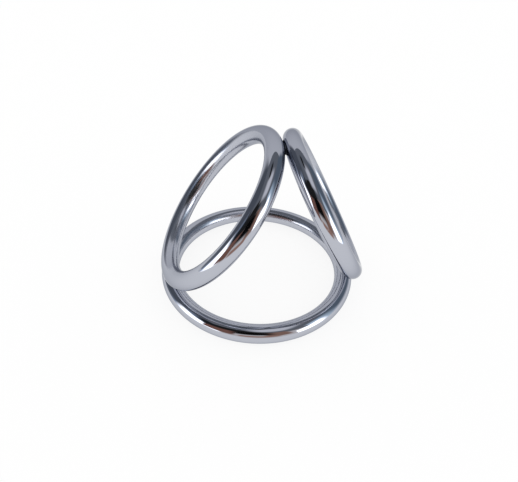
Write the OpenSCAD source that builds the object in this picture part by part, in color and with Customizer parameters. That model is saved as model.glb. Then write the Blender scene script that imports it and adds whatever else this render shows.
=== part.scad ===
// Frame of three welded rings of round bar. The largest ring lies flat, and two smaller rings stand on
// its left and right ends and lean together until they meet at the crown.

/* [Bar] */
// Diameter of the round bar that all three rings are bent from
bar_d = 5.5; // [4:0.1:7]

/* [Rings] */
// Inside diameter of the base ring, which lies flat
base_inner_d = 51; // [46:0.5:60]
// Inside diameter of the left ring, which stands on the base ring
left_inner_d = 43; // [38:0.5:48]
// Inside diameter of the right ring, which stands on the base ring
right_inner_d = 37.5; // [34:0.5:44]

/* [Seats] */
// Where the left ring sits on the base bar, in degrees outwards from the top of the bar
left_seat = -4; // [-15:1:20]
// Where the right ring sits on the base bar, in degrees outwards from the top of the bar
right_seat = 12; // [-15:1:20]
// Rise of the line from the left ring's top to the right ring's top, in degrees
crown_slope = -3; // [-12:1:12]

/* [Joint welds] */
// Gap left between two bars at the root of a joint weld
root_gap = 0.2; // [0.1:0.05:0.35]
// Radius of the hollow fillet that the welds on the base ring are dressed to
foot_fillet_r = 0.7; // [0.4:0.1:2]
// Radius of the hollow fillet that the weld at the crown is dressed to
crown_fillet_r = 0.3; // [0.25:0.05:1.2]
// Clearance between a joint weld and the bars that it joins
weld_clearance = 0.02; // [0.01:0.01:0.05]

/* [Butt welds] */
// Length of bar that the butt weld closing a ring takes up
butt_w = 1.6; // [1:0.1:3]
// Place of a ring's butt weld, in degrees round its axis from its right-hand end
butt_at = 90; // [70:1:110]

/* [Hidden] */
$fn = 96;
plate_colour = "#b9bcc6";

// Radii of the bar and of the three rings' centre lines
bar_r = bar_d / 2;
base_r = (base_inner_d + bar_d) / 2;
left_r = (left_inner_d + bar_d) / 2;
right_r = (right_inner_d + bar_d) / 2;

// Distance between two bars' centre lines where they meet
joint_pitch = bar_d + root_gap;

// Side view, as [x, z]: the base ring's ends, and the feet of the standing rings, all on centre lines
base_left = [-base_r, bar_r];
base_right = [base_r, bar_r];
left_foot = base_left + joint_pitch * [-sin(left_seat), cos(left_seat)];
right_foot = base_right + joint_pitch * [sin(right_seat), cos(right_seat)];

// The standing rings are two sides of a triangle. Its third side is the span between their feet, less
// the step across the crown
crown_step = joint_pitch * [cos(crown_slope), sin(crown_slope)];
span = right_foot - left_foot - crown_step;
span_rise = atan2(span.y, span.x);
left_tilt = corner_angle(2 * left_r, norm(span), 2 * right_r) + span_rise;
right_tilt = corner_angle(2 * right_r, norm(span), 2 * left_r) - span_rise;
left_up = [cos(left_tilt), sin(left_tilt)];
right_up = [-cos(right_tilt), sin(right_tilt)];
left_top = left_foot + 2 * left_r * left_up;
right_top = right_foot + 2 * right_r * right_up;

// Each ring as [centre, axis, radius of its centre line]
base_line = [in_space([0, bar_r]), [0, 0, 1], base_r];
left_line = [in_space(left_foot + left_r * left_up), [-left_up.y, 0, left_up.x], left_r];
right_line = [in_space(right_foot + right_r * right_up), [right_up.y, 0, -right_up.x], right_r];

// A joint weld lies between its two bars, so its seats are a clearance larger than the bar. Its fillet
// is the hollow left by a ball that rolls round the joint and touches both seats.
seat_r = bar_r + weld_clearance;

// Points round a joint weld, rows of them across each seat, and steps over its fillet
weld_sides = 40;
seat_rows = 3;
fillet_steps = 6;

// Direction of every bar where two of them meet
along = [0, 1, 0];

// Angle of a triangle between its sides a and b, with side c across from it
function corner_angle(a, b, c) = acos((a * a + b * b - c * c) / (2 * a * b));

// A side-view point, on the frame's middle plane
function in_space(p) = [p.x, 0, p.y];

function unit(v) = v / norm(v);

// An angle brought to between -180 and 180 degrees
function short_turn(a) = a - 360 * round(a / 360);

// Nearest point to p on a ring's centre line
function foot_on(ring, p) =
    let (q = p - ring[0])
    ring[0] + ring[2] * unit(q - (q * ring[1]) * ring[1]);

// Moves p along u and n until it is a reach away from both centre lines, by Newton's method
function ball_centre(p, u, n, ring_a, ring_b, reach, steps = 12) =
    steps == 0 ? p :
    let (
        from_a = p - foot_on(ring_a, p),
        from_b = p - foot_on(ring_b, p),
        short_a = reach - norm(from_a),
        short_b = reach - norm(from_b),
        au = unit(from_a) * u,
        an = unit(from_a) * n,
        bu = unit(from_b) * u,
        bn = unit(from_b) * n,
        det = au * bn - an * bu,
        step_u = (short_a * bn - short_b * an) / det,
        step_n = (short_b * au - short_a * bu) / det
    )
    ball_centre(p + step_u * u + step_n * n, u, n, ring_a, ring_b, reach, steps - 1);

// Angle round a ring's bar of the direction that faces the joint
function facing(ring, at, n) = atan2(n * ring[1], n * unit(at - ring[0]));

// Angles [round the ring, round its bar] from the middle of a seat to the place nearest to p
function seat_angles(ring, at, n, p) =
    let (foot = foot_on(ring, p), arm = foot - ring[0], look = p - foot)
    [atan2(arm * along, arm * unit(at - ring[0])),
     short_turn(atan2(look * ring[1], look * unit(arm)) - facing(ring, at, n))];

// The point of a seat at those angles
function seat_point(ring, at, n, angles) =
    let (
        arm = cos(angles[0]) * unit(at - ring[0]) + sin(angles[0]) * along,
        tilt = facing(ring, at, n) + angles[1]
    )
    ring[0] + ring[2] * arm + seat_r * (cos(tilt) * arm + sin(tilt) * ring[1]);

// The point a share f of the way over the fillet, from ring a's bar to ring b's
function fillet_point(ball, fillet_r, ring_a, ring_b, f) =
    let (
        to_a = unit(foot_on(ring_a, ball) - ball),
        to_b = unit(foot_on(ring_b, ball) - ball),
        angle = acos(to_a * to_b)
    )
    ball + fillet_r * (sin((1 - f) * angle) * to_a + sin(f * angle) * to_b) / sin(angle);

// Part of a ring's bar, from one angle round the ring's axis through a sweep
module bar_arc(ring_r, from, sweep) {
    rotate([0, 0, from]) rotate_extrude(angle = sweep) translate([ring_r, 0]) circle(r = bar_r);
}

// Angle that a ring's butt weld takes up
function butt_sweep(ring_r) = butt_w / ring_r * 180 / PI;

module bent_bar(ring_r) {
    bar_arc(ring_r, butt_at + butt_sweep(ring_r) / 2, 360 - butt_sweep(ring_r));
}

module butt_weld(ring_r) {
    bar_arc(ring_r, butt_at - butt_sweep(ring_r) / 2, butt_sweep(ring_r));
}

// Puts a flat ring or a piece of one in the place of a ring that is tilted about the Y axis
module place(ring, tilt) {
    translate(ring[0]) rotate([0, tilt, 0]) children();
}

// Weld that fills the root between two bars that meet at the side-view points p_a and p_b
module joint_weld(ring_a, ring_b, p_a, p_b, fillet_r) {
    at_a = in_space(p_a);
    at_b = in_space(p_b);
    n = unit(at_b - at_a);
    side = cross(n, along);
    reach = seat_r + fillet_r;

    // First guess of the ball's path: an ellipse, from the bars' gap and how fast they part
    part = n * ((ring_b[0] - at_b) / pow(ring_b[2], 2) - (ring_a[0] - at_a) / pow(ring_a[2], 2));
    half_l = sqrt(2 * (2 * reach - joint_pitch) / part);
    half_w = sqrt(pow(reach, 2) - pow(joint_pitch / 2, 2));
    balls = [for (k = [0 : weld_sides - 1])
        let (turn = 360 * k / weld_sides, v = half_l * cos(turn) * along + half_w * sin(turn) * side)
        ball_centre((at_a + at_b) / 2 + v, unit(v), n, ring_a, ring_b, reach)];
    on_a = [for (ball = balls) seat_angles(ring_a, at_a, n, ball)];
    on_b = [for (ball = balls) seat_angles(ring_b, at_b, -n, ball)];

    rows = concat(
        [for (i = [1 : seat_rows]) [for (a = on_a) seat_point(ring_a, at_a, n, a * i / seat_rows)]],
        [for (j = [1 : fillet_steps - 1])
            [for (ball = balls) fillet_point(ball, fillet_r, ring_a, ring_b, j / fillet_steps)]],
        [for (i = [seat_rows : -1 : 1]) [for (a = on_b) seat_point(ring_b, at_b, -n, a * i / seat_rows)]]
    );
    points = concat(
        [seat_point(ring_a, at_a, n, [0, 0])],
        [for (row = rows) each row],
        [seat_point(ring_b, at_b, -n, [0, 0])]
    );
    last = len(points) - 1;
    faces = [for (k = [0 : weld_sides - 1])
        let (next = (k + 1) % weld_sides)
        each concat(
            [[0, 1 + k, 1 + next]],
            [for (r = [0 : len(rows) - 2])
                let (low = 1 + r * weld_sides, high = low + weld_sides)
                each [[low + k, high + k, high + next], [low + k, high + next, low + next]]],
            [[last, last - weld_sides + next, last - weld_sides + k]]
        )];
    polyhedron(points, faces);
}

module base_ring() {
    color(plate_colour) place(base_line, 0) bent_bar(base_r);
}

module left_ring() {
    color(plate_colour) place(left_line, -left_tilt) bent_bar(left_r);
}

module right_ring() {
    color(plate_colour) place(right_line, right_tilt) bent_bar(right_r);
}

module base_butt_weld() {
    color(plate_colour) place(base_line, 0) butt_weld(base_r);
}

module left_butt_weld() {
    color(plate_colour) place(left_line, -left_tilt) butt_weld(left_r);
}

module right_butt_weld() {
    color(plate_colour) place(right_line, right_tilt) butt_weld(right_r);
}

module left_joint_weld() {
    color(plate_colour) joint_weld(base_line, left_line, base_left, left_foot, foot_fillet_r);
}

module right_joint_weld() {
    color(plate_colour) joint_weld(base_line, right_line, base_right, right_foot, foot_fillet_r);
}

module crown_joint_weld() {
    color(plate_colour) joint_weld(left_line, right_line, left_top, right_top, crown_fillet_r);
}

base_ring();
left_ring();
right_ring();
base_butt_weld();
left_butt_weld();
right_butt_weld();
left_joint_weld();
right_joint_weld();
crown_joint_weld();
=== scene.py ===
import bpy
import numpy as np
from mathutils import Matrix, Vector


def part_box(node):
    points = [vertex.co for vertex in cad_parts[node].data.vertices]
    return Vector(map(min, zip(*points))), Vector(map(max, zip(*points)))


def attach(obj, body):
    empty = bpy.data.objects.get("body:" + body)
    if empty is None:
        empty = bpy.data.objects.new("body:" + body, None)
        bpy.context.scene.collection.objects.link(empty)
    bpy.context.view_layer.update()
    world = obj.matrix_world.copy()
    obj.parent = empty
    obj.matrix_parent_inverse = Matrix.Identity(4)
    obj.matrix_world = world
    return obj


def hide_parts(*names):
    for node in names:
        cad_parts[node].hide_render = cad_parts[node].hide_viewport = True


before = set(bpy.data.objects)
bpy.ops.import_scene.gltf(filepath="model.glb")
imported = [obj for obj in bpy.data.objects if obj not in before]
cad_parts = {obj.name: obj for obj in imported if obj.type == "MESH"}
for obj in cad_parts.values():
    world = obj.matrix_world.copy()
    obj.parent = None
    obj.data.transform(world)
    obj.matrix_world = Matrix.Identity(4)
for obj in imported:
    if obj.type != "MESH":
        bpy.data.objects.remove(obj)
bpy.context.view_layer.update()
print("frame loaded:", len(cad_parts), "nodes")

mm = 0.001


def linear(hexCode):
    # sRGB hex to linear RGBA
    srgb = np.array([int(hexCode[i:i + 2], 16) for i in (1, 3, 5)]) / 255
    return (*np.where(srgb <= 0.04045, srgb / 12.92, ((srgb + 0.055) / 1.055) ** 2.4), 1.0)


def addNode(tree, kind, values=None, links=None, **settings):
    # values go to sockets, links bring other nodes' outputs, settings are the node's own
    node = tree.nodes.new(kind)
    for name, setting in settings.items():
        setattr(node, name, setting)
    for socket, value in (values or {}).items():
        node.inputs[socket].default_value = value
    for socket, source in (links or {}).items():
        tree.links.new(source, node.inputs[socket])
    return node


def newMaterial(name):
    material = bpy.data.materials.new(name)
    material.use_nodes = True
    material.node_tree.nodes.clear()
    return material, material.node_tree


def unit(v):
    return v / np.linalg.norm(v, axis=-1, keepdims=True)


def makePiece(name, points, faces, material, sharp=None, uv=None):
    # faces is a list of whole arrays of corners, sharp is a mask of points whose shared edges stay crisp
    mesh = bpy.data.meshes.new(name)
    mesh.from_pydata(points.tolist(), [], [list(face) for block in faces for face in block.tolist()])
    mesh.polygons.foreach_set("use_smooth", np.ones(len(mesh.polygons), bool))
    if sharp is not None:
        ends = np.empty(2 * len(mesh.edges), np.int32)
        mesh.edges.foreach_get("vertices", ends)
        crisp = mesh.attributes.new("sharp_edge", "BOOLEAN", "EDGE")
        crisp.data.foreach_set("value", sharp[ends.reshape(-1, 2)].all(axis=1))
    if uv is not None:
        corners = np.empty(len(mesh.loops), np.int32)
        mesh.loops.foreach_get("vertex_index", corners)
        mesh.uv_layers.new(name="bar").data.foreach_set("uv", uv[corners].ravel())
    mesh.materials.append(material)
    mesh.update()
    piece = bpy.data.objects.new(name, mesh)
    bpy.context.scene.collection.objects.link(piece)
    return piece


def gridFaces(rows, columns):
    # quads between the points of a grid whose columns close on themselves
    row, column = np.meshgrid(np.arange(rows - 1), np.arange(columns), indexing="ij")
    after = (column + 1) % columns
    low, high = row * columns, (row + 1) * columns
    corners = [low + column, low + after, high + after, high + column]
    return np.stack(corners, axis=-1).reshape(-1, 4)


def fanFaces(pole, rim):
    # triangles from one point to a closed row of points
    return np.stack([np.full(len(rim), pole), np.roll(rim, -1), rim], axis=-1)


# Chrome plate over nickel on buffed steel bar: a cool grey mirror with a few soft buffing lines
# and rare pits
plateLook = {
    "colour": "#bcbfc8",
    "cloud": "#b6b9c3",         # where the plate is thinner
    "rim": "#c6c8cd",           # chromium turns less white at the rim than most metals
    "cloudSize": 14 * mm,
    "roughness": (0.025, 0.06),
    "insideRoughness": 0.15,    # the wheel hardly reaches the inside of a ring
    "insideStart": 5.2 * mm,    # round the bar from its inmost line: where that sets in
    "insideFull": 2.2 * mm,
    "waveSize": 9 * mm,         # slow swell left by the buffing wheel
    "waveHeight": 0.012 * mm,
    "lineSize": 0.35 * mm,      # buffing lines, drawn coarser than the real 0.02 mm ones so that they show
    "lineHeight": 0.0006 * mm,
    "lineStretch": 0.06,        # they run along the bar, so they are drawn out that way
    "lineSpread": (0.35, 0.75), # part of their noise that changes the shine
    "pitSpacing": 3.2 * mm,
    "pitSize": 0.16 * mm,
    "pitHeight": 0.02 * mm,
}


def plateFinish(name, look):
    material, tree = newMaterial(name)
    place = addNode(tree, "ShaderNodeTexCoord")
    alongBar = addNode(tree, "ShaderNodeMapping", {"Scale": (look["lineStretch"], 1, 1)},
                       {"Vector": place.outputs["UV"]})
    cloud = addNode(tree, "ShaderNodeTexNoise", {"Scale": 1 / look["cloudSize"], "Detail": 3.0},
                    {"Vector": place.outputs["Object"]})
    tint = addNode(tree, "ShaderNodeMix", {"A": linear(look["colour"]), "B": linear(look["cloud"])},
                   {"Factor": cloud.outputs["Fac"]}, data_type="RGBA")
    lines = addNode(tree, "ShaderNodeTexNoise", {"Scale": 1 / look["lineSize"], "Detail": 2.0},
                    {"Vector": alongBar.outputs["Vector"]})
    shine = addNode(tree, "ShaderNodeMapRange",
                    {"From Min": look["lineSpread"][0], "From Max": look["lineSpread"][1],
                     "To Min": look["roughness"][0], "To Max": look["roughness"][1]},
                    {"Value": lines.outputs["Fac"]})
    split = addNode(tree, "ShaderNodeSeparateXYZ", links={0: place.outputs["UV"]})
    inside = addNode(tree, "ShaderNodeMapRange",
                     {"From Min": look["insideStart"], "From Max": look["insideFull"],
                      "To Min": 0.0, "To Max": look["insideRoughness"]},
                     {"Value": split.outputs["Y"]}, interpolation_type="SMOOTHSTEP")
    shine = addNode(tree, "ShaderNodeMath", links={0: shine.outputs["Result"], 1: inside.outputs["Result"]})
    swell = addNode(tree, "ShaderNodeTexNoise", {"Scale": 1 / look["waveSize"], "Detail": 1.0},
                    {"Vector": place.outputs["Object"]})
    cells = addNode(tree, "ShaderNodeTexVoronoi", {"Scale": 1 / look["pitSpacing"]},
                    {"Vector": place.outputs["Object"]})
    pits = addNode(tree, "ShaderNodeMapRange",
                   {"From Min": 0.0, "From Max": look["pitSize"] / look["pitSpacing"]},
                   {"Value": cells.outputs["Distance"]}, interpolation_type="SMOOTHSTEP")
    waved = addNode(tree, "ShaderNodeBump", {"Strength": 1.0, "Distance": look["waveHeight"]},
                    {"Height": swell.outputs["Fac"]})
    lined = addNode(tree, "ShaderNodeBump", {"Strength": 1.0, "Distance": look["lineHeight"]},
                    {"Height": lines.outputs["Fac"], "Normal": waved.outputs["Normal"]})
    pitted = addNode(tree, "ShaderNodeBump", {"Strength": 1.0, "Distance": look["pitHeight"]},
                     {"Height": pits.outputs["Result"], "Normal": lined.outputs["Normal"]})
    metal = addNode(tree, "ShaderNodeBsdfPrincipled",
                    {"Metallic": 1.0, "Specular Tint": linear(look["rim"])},
                    {"Base Color": tint.outputs["Result"], "Roughness": shine.outputs[0],
                     "Normal": pitted.outputs["Normal"]})
    addNode(tree, "ShaderNodeOutputMaterial", links={"Surface": metal.outputs["BSDF"]})
    return material


barPlate = plateFinish("chromePlateBuffedBar", plateLook)
# The same plate over a butt weld ground flush with the bar: hardly seen, shorter swell, a little duller
weldWave = {"waveSize": 3 * mm, "waveHeight": 0.008 * mm}
flushPlate = plateFinish("chromePlateFlushGroundWeld", dict(plateLook, roughness=(0.035, 0.09), **weldWave))
# The same plate in the hollow of a joint, where it comes out thin and the wheel slips past, so it is
# duller; its dark colour, cloud and rim are painted shade for the deep crevice between the bars
hollowDullPlateAndPaintedShade = plateFinish("chromePlateHollowWeldDullAndPaintedShade", dict(
    plateLook, colour="#44464c", cloud="#3e4046", rim="#84868c",
    roughness=(0.10, 0.18), insideRoughness=0.0, **weldWave))
print("finishes made")


# Rings of round bar: where each one is comes from the boxes of its CAD solids
ringShape = {
    "stepsAlong": 360,
    "stepsAround": 96,
    "stepsButt": 8,             # along a butt weld
    "buttAngle": 90,            # degrees from the end that faces the crown or the right, to the rear
    "buttWidth": 1.6 * mm,
    "inset": 0.005 * mm,        # keeps the smooth skin inside the CAD box
}
barRadius = (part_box("base_ring")[1].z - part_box("base_ring")[0].z) / 2


def ringPlace(lean, *nodes):
    # the box of a leaning ring is its radius times the sine and cosine of its lean, plus the bar all round
    corners = np.array([[list(corner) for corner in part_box(node)] for node in nodes])
    low, high = corners[:, 0].min(axis=0), corners[:, 1].max(axis=0)
    reach = (high - low) / 2 - barRadius
    up = unit(np.array([lean * reach[0], 0.0, max(reach[2], 0.0)]))
    rear = np.array([0.0, 1.0, 0.0])
    return {"centre": (low + high) / 2, "radius": reach[1],
            "up": up, "rear": rear, "axis": np.cross(up, rear)}


def barArc(ring, start, sweep, steps):
    # a circle of the bar's radius r carried round a ring of radius R:
    # centre + (R + r cos b)(up cos a + rear sin a) + r sin b axis, closed with a fan at each end
    a = np.radians(np.linspace(start, start + sweep, steps + 1))[:, None, None]
    b = np.linspace(0, 2 * np.pi, ringShape["stepsAround"], endpoint=False)[None, :, None]
    arm = np.cos(a) * ring["up"] + np.sin(a) * ring["rear"]
    bar = barRadius - ringShape["inset"]
    skin = ring["centre"] + (ring["radius"] + bar * np.cos(b)) * arm + bar * np.sin(b) * ring["axis"]
    ends = (ring["centre"] + ring["radius"] * arm)[[0, -1], 0]
    rows, columns = skin.shape[:2]
    last = rows * columns
    edge = np.arange(columns)
    points = np.concatenate([skin.reshape(-1, 3), ends])
    faces = [gridFaces(rows, columns)[:, ::-1], fanFaces(last, edge)[:, ::-1],
             fanFaces(last + 1, last - columns + edge)]
    sharp = np.zeros(len(points), bool)
    sharp[:columns] = sharp[last - columns:last] = True
    along = np.broadcast_to(a * ring["radius"], (rows, columns, 1))
    around = np.broadcast_to(np.abs(b - np.pi) * barRadius, (rows, columns, 1))
    uv = np.concatenate([np.concatenate([along, around], axis=2).reshape(-1, 2), np.zeros((2, 2))])
    return points, faces, sharp, uv


rings = {
    "base": ringPlace(1, "base_ring", "base_butt_weld"),
    "left": ringPlace(1, "left_ring", "left_butt_weld"),
    "right": ringPlace(-1, "right_ring", "right_butt_weld"),
}
for name, ring in rings.items():
    butt = np.degrees(ringShape["buttWidth"] / ring["radius"])
    start = ringShape["buttAngle"] + butt / 2
    points, faces, sharp, uv = barArc(ring, start, 360 - butt, ringShape["stepsAlong"])
    piece = makePiece(name + "BentBar", points, faces, barPlate, sharp, uv)
    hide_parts(name + "_ring")
    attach(piece, "root")
    points, faces, sharp, uv = barArc(ring, start - butt, butt, ringShape["stepsButt"])
    piece = makePiece(name + "ButtWeld", points, faces, flushPlate, sharp, uv)
    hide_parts(name + "_butt_weld")
    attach(piece, "root")
    print("ring:", name, "radius mm", round(ring["radius"] / mm, 2))


# Joint welds: the hollow that a ball leaves when it rolls round a joint and touches both bars
weldShape = {
    "footFillet": 0.7 * mm,     # radius of the hollow at the base ring
    "crownFillet": 0.3 * mm,
    "sides": 160,               # points round a joint
    "steps": 40,                # over the hollow, from bar to bar
    "pushes": 15,               # of Newton's method, far more than it needs
    "sunk": 0.3 * mm,           # depth of the hidden seats in the bars
}


def footOn(ring, p):
    # nearest point of a ring's centre line
    q = p - ring["centre"]
    return ring["centre"] + ring["radius"] * unit(q - (q @ ring["axis"])[:, None] * ring["axis"])


def jointWeld(ringA, sideA, ringB, sideB, ball):
    # balls start on an ellipse and are pushed, by Newton's method, to stand off both centre lines by the
    # radii of bar and ball together; the skin is each ball's arc from one bar to the other
    atA = ringA["centre"] + sideA * ringA["radius"] * ringA["up"]
    atB = ringB["centre"] + sideB * ringB["radius"] * ringB["up"]
    across, along = unit(atB - atA), ringA["rear"]
    pitch = np.linalg.norm(atB - atA)
    reach = barRadius + ball
    parting = across @ ((ringB["centre"] - atB) / ringB["radius"] ** 2
                        - (ringA["centre"] - atA) / ringA["radius"] ** 2)
    turn = np.linspace(0, 2 * np.pi, weldShape["sides"], endpoint=False)[:, None]
    offset = np.sqrt(2 * (2 * reach - pitch) / parting) * np.cos(turn) * along \
        + np.sqrt(reach ** 2 - pitch ** 2 / 4) * np.sin(turn) * np.cross(across, along)
    p, outwards = (atA + atB) / 2 + offset, unit(offset)
    for _ in range(weldShape["pushes"]):
        fromA, fromB = p - footOn(ringA, p), p - footOn(ringB, p)
        shortA = reach - np.linalg.norm(fromA, axis=1)
        shortB = reach - np.linalg.norm(fromB, axis=1)
        fromA, fromB = unit(fromA), unit(fromB)
        au, an = (fromA * outwards).sum(1), fromA @ across
        bu, bn = (fromB * outwards).sum(1), fromB @ across
        det = au * bn - an * bu
        p = p + ((shortA * bn - shortB * an) / det)[:, None] * outwards \
            + ((shortB * au - shortA * bu) / det)[:, None] * across
    toA, toB = unit(footOn(ringA, p) - p), unit(footOn(ringB, p) - p)
    angle = np.arccos((toA * toB).sum(1))[None, :, None]
    f = np.linspace(0, 1, weldShape["steps"] + 1)[:, None, None]
    skin = p + ball * (np.sin((1 - f) * angle) * toA + np.sin(f * angle) * toB) / np.sin(angle)
    deep = barRadius - weldShape["sunk"]
    seats = np.stack([atA + deep * across, atB - deep * across])
    rows, columns = skin.shape[:2]
    last = rows * columns
    edge = np.arange(columns)
    points = np.concatenate([skin.reshape(-1, 3), seats])
    faces = [gridFaces(rows, columns), fanFaces(last, edge),
             fanFaces(last + 1, last - columns + edge)[:, ::-1]]
    sharp = np.zeros(len(points), bool)
    sharp[:columns] = sharp[last - columns:last] = True
    girth = np.linalg.norm(p - np.roll(p, 1, axis=0), axis=1).sum()
    path = np.broadcast_to(turn * girth / (2 * np.pi), (rows, columns, 1))
    over = f * ball * angle
    uv = np.concatenate([np.concatenate([path, over], axis=2).reshape(-1, 2), np.zeros((2, 2))])
    return points, faces, sharp, uv


joints = {
    "left": ("base", -1, "left", -1, "footFillet"),
    "right": ("base", 1, "right", -1, "footFillet"),
    "crown": ("left", 1, "right", 1, "crownFillet"),
}
for name, (ringA, sideA, ringB, sideB, fillet) in joints.items():
    points, faces, sharp, uv = jointWeld(rings[ringA], sideA, rings[ringB], sideB, weldShape[fillet])
    # every joint weld takes the hollow plate, whose dark colour is painted shade of the crevice
    piece = makePiece(name + "JointWeld", points, faces, hollowDullPlateAndPaintedShade, sharp, uv)
    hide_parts(name + "_joint_weld")
    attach(piece, "root")
    print("weld:", name, len(points), "points")


# Pale floor: white paper that keeps a light shadow and shows the metal the same white
floorLook = {
    "colour": "#fdfdfd",
    "glow": 0.85,               # share of plain white that eye and metal see, the rest takes the shadow
    "size": 4.0,                # metres
}
floorMaterial, tree = newMaterial("whitePaperSweep")
paper = addNode(tree, "ShaderNodeBsdfDiffuse", {"Color": linear(floorLook["colour"])})
white = addNode(tree, "ShaderNodeEmission", {"Color": linear("#ffffff"), "Strength": 1.0})
path = addNode(tree, "ShaderNodeLightPath")
seen = addNode(tree, "ShaderNodeMath", operation="MAXIMUM",
               links={0: path.outputs["Is Camera Ray"], 1: path.outputs["Is Glossy Ray"]})
seen = addNode(tree, "ShaderNodeMath", operation="MAXIMUM",
               links={0: seen.outputs[0], 1: path.outputs["Is Transmission Ray"]})
share = addNode(tree, "ShaderNodeMath", {1: floorLook["glow"]}, {0: seen.outputs[0]}, operation="MULTIPLY")
mixed = addNode(tree, "ShaderNodeMixShader",
                links={0: share.outputs[0], 1: paper.outputs[0], 2: white.outputs[0]})
addNode(tree, "ShaderNodeOutputMaterial", links={"Surface": mixed.outputs[0]})
side = floorLook["size"] / 2
square = np.array([[-side, -side, 0], [side, -side, 0], [side, side, 0], [-side, side, 0]])
makePiece("paperSweep", square, [np.array([[0, 1, 2, 3]])], floorMaterial)

world = bpy.data.worlds.new("whiteRoom")
world.use_nodes = True
room = world.node_tree.nodes["Background"]
room.inputs["Color"].default_value = linear("#ffffff")
room.inputs["Strength"].default_value = 1.0
bpy.context.scene.world = world
print("floor and room set")

# Light tent of soft cards round the object, out of the picture, which only the metal sees. Each one has
# the axis that it faces along, its place, its size and its soft edge in mm, its colour and its strength
tent = {
    "backdrop": ("y", (50, 495, 400), (2300, 1650), 10, "#dadbdf", 1.0),
    "ceiling": ("z", (65, 100, 680), (2650, 2300), 10, "#757980", 1.0),
    "frontWall": ("y", (0, -545, 480), (2300, 990), 10, "#e4dedb", 1.0),
    "leftFar": ("x", (-595, 0, 480), (2650, 1320), 10, "#9298a2", 1.0),
    "rightFar": ("x", (660, 0, 480), (2650, 1320), 10, "#cbced4", 1.0),
    "overheadCard": ("z", (55, -50, 325), (150, 180), 80, "#eaeaef", 1.0),
    "overheadFlag": ("z", (0, 25, 185), (28, 55), 22, "#060607", 1.0),
    "leftWall": ("x", (-300, 180, 310), (450, 540), 160, "#5c616a", 1.0),
    "leftFlag": ("x", (-175, -195, 190), (300, 160), 70, "#26282b", 1.0),
    "leftGlow": ("x", (-320, -80, 165), (240, 370), 90, "#c0d2ed", 1.0),
    "leftSoftbox": ("x", (-270, -170, 82), (310, 160), 70, "#ffffff", 3.0),
    "rightWall": ("x", (495, 75, 425), (660, 640), 150, "#677380", 1.0),
    "rightGlow": ("x", (405, -220, 215), (240, 540), 200, "#dcf0ff", 1.0),
    "rightSoftbox": ("x", (390, -390, 147), (435, 285), 80, "#ffffff", 3.0),
    "rightFlag": ("y", (300, -300, 410), (260, 250), 90, "#75787c", 1.0),
    "frontFlag": ("y", (-130, -155, 330), (310, 385), 80, "#262626", 1.0),
    "leftWarmCard": ("y", (-125, -127, 75), (130, 110), 20, "#8a6357", 1.0),
    "rightWarmCard": ("y", (45, -145, 115), (70, 155), 20, "#9b7a6c", 1.0),
    "blackStrip": ("y", (-20, -122, 110), (90, 90), 30, "#0c0c0d", 1.0),
    "lowWarmCard": ("y", (-5, -119, 30), (80, 24), 13, "#b28b7c", 1.0),
}
# width and height of a card that faces along an axis
axes = {"x": ((0, 1, 0), (0, 0, 1)), "y": ((1, 0, 0), (0, 0, 1)), "z": ((1, 0, 0), (0, 1, 0))}
for name, (facing, spot, size, edge, colour, strength) in tent.items():
    material, tree = newMaterial(name + "Panel")
    place = addNode(tree, "ShaderNodeTexCoord")
    split = addNode(tree, "ShaderNodeSeparateXYZ", links={0: place.outputs["Object"]})
    masks = []
    for axis in (0, 1):         # fades over the soft edge on all four sides
        off = addNode(tree, "ShaderNodeMath", links={0: split.outputs[axis]}, operation="ABSOLUTE")
        fade = addNode(tree, "ShaderNodeMapRange",
                       {"From Min": (size[axis] + edge) / 2 * mm, "From Max": (size[axis] - edge) / 2 * mm},
                       {"Value": off.outputs[0]}, interpolation_type="SMOOTHSTEP")
        masks.append(fade.outputs["Result"])
    mask = addNode(tree, "ShaderNodeMath", links={0: masks[0], 1: masks[1]}, operation="MULTIPLY")
    clear = addNode(tree, "ShaderNodeBsdfTransparent")
    glow = addNode(tree, "ShaderNodeEmission", {"Color": linear(colour), "Strength": strength})
    mixed = addNode(tree, "ShaderNodeMixShader",
                    links={0: mask.outputs[0], 1: clear.outputs[0], 2: glow.outputs[0]})
    addNode(tree, "ShaderNodeOutputMaterial", links={"Surface": mixed.outputs[0]})
    half = (np.array(size) + edge) / 2 * mm
    square = np.array([[-1, -1], [1, -1], [1, 1], [-1, 1]]) * half
    card = makePiece(name, np.c_[square, np.zeros(4)], [np.array([[0, 1, 2, 3]])], material)
    wide, high = (Vector(v) for v in axes[facing])
    turn = Matrix((wide, high, wide.cross(high))).transposed().to_4x4()
    card.matrix_world = Matrix.Translation(Vector(spot) * mm) @ turn
    card.visible_camera = card.visible_diffuse = card.visible_shadow = False
print("tent:", len(tent), "cards")


# Camera at the photograph's angle: it stands off from a point above the base ring's centre
view = {
    "aimHeight": 14.75 * mm,
    "distance": 134.29 * mm,
    "azimuth": -0.1292,         # radians
    "elevation": 0.6911,
    "roll": 0.0548,
    "focal": 427.80 / 518,      # in image widths
    "shift": (0.0006, -0.0082),
    "sensor": 36,               # mm
    "clipStart": 5 * mm,
}
az, el, roll = view["azimuth"], view["elevation"], view["roll"]
back = Vector((np.sin(az) * np.cos(el), -np.cos(az) * np.cos(el), np.sin(el)))
right = Vector((0, 0, 1)).cross(back).normalized()
above = back.cross(right)
turned = (right * np.cos(roll) + above * np.sin(roll), above * np.cos(roll) - right * np.sin(roll), back)
lens = bpy.data.cameras.new("photoLens")
lens.sensor_width = view["sensor"]
lens.lens = view["focal"] * view["sensor"]
lens.shift_x, lens.shift_y = view["shift"]
lens.clip_start = view["clipStart"]
camera = bpy.data.objects.new("photoCamera", lens)
stand = back * view["distance"] + Vector((0, 0, view["aimHeight"]))
camera.matrix_world = Matrix.Translation(stand) @ Matrix(turned).transposed().to_4x4()
bpy.context.scene.collection.objects.link(camera)
bpy.context.scene.camera = camera
bpy.context.scene.view_settings.view_transform = "Standard"
print("camera set")
